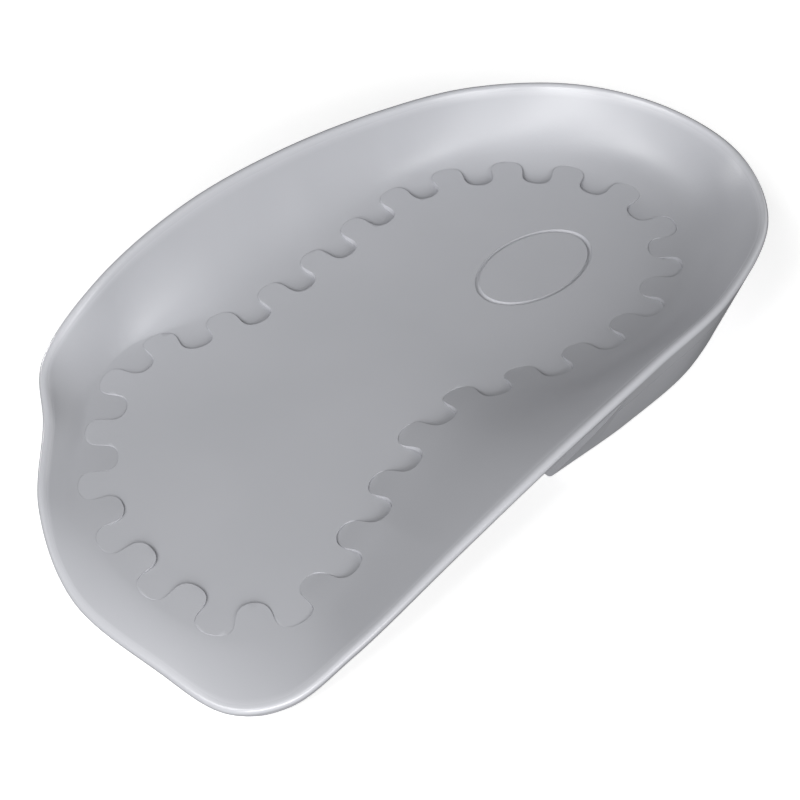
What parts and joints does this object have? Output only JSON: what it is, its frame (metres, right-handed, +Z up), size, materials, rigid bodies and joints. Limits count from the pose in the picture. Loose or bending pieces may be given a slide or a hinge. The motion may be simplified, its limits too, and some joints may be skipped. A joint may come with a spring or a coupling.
{
  "type": "heel cup",
  "caption": "Moulded grey heel cup insole for a left foot, with raised heel and arch walls, a solid heel base and a toothed pad let into its floor.",
  "frame": {"origin": "middle of the cup's outline, on the ground", "axes": "+Z up from the ground, +Y towards the back of the heel, +X towards the outer side of a left foot"},
  "size_m": [0.0738, 0.1256, 0.0179],
  "materials": {
    "shell": "satin moulded, fine grain",
    "pad": "matte moulded, fine grain"
  },
  "bodies": {
    "root": {"cup_shell": "shell", "toothed_pad": "pad"}
  },
  "joints": []
}
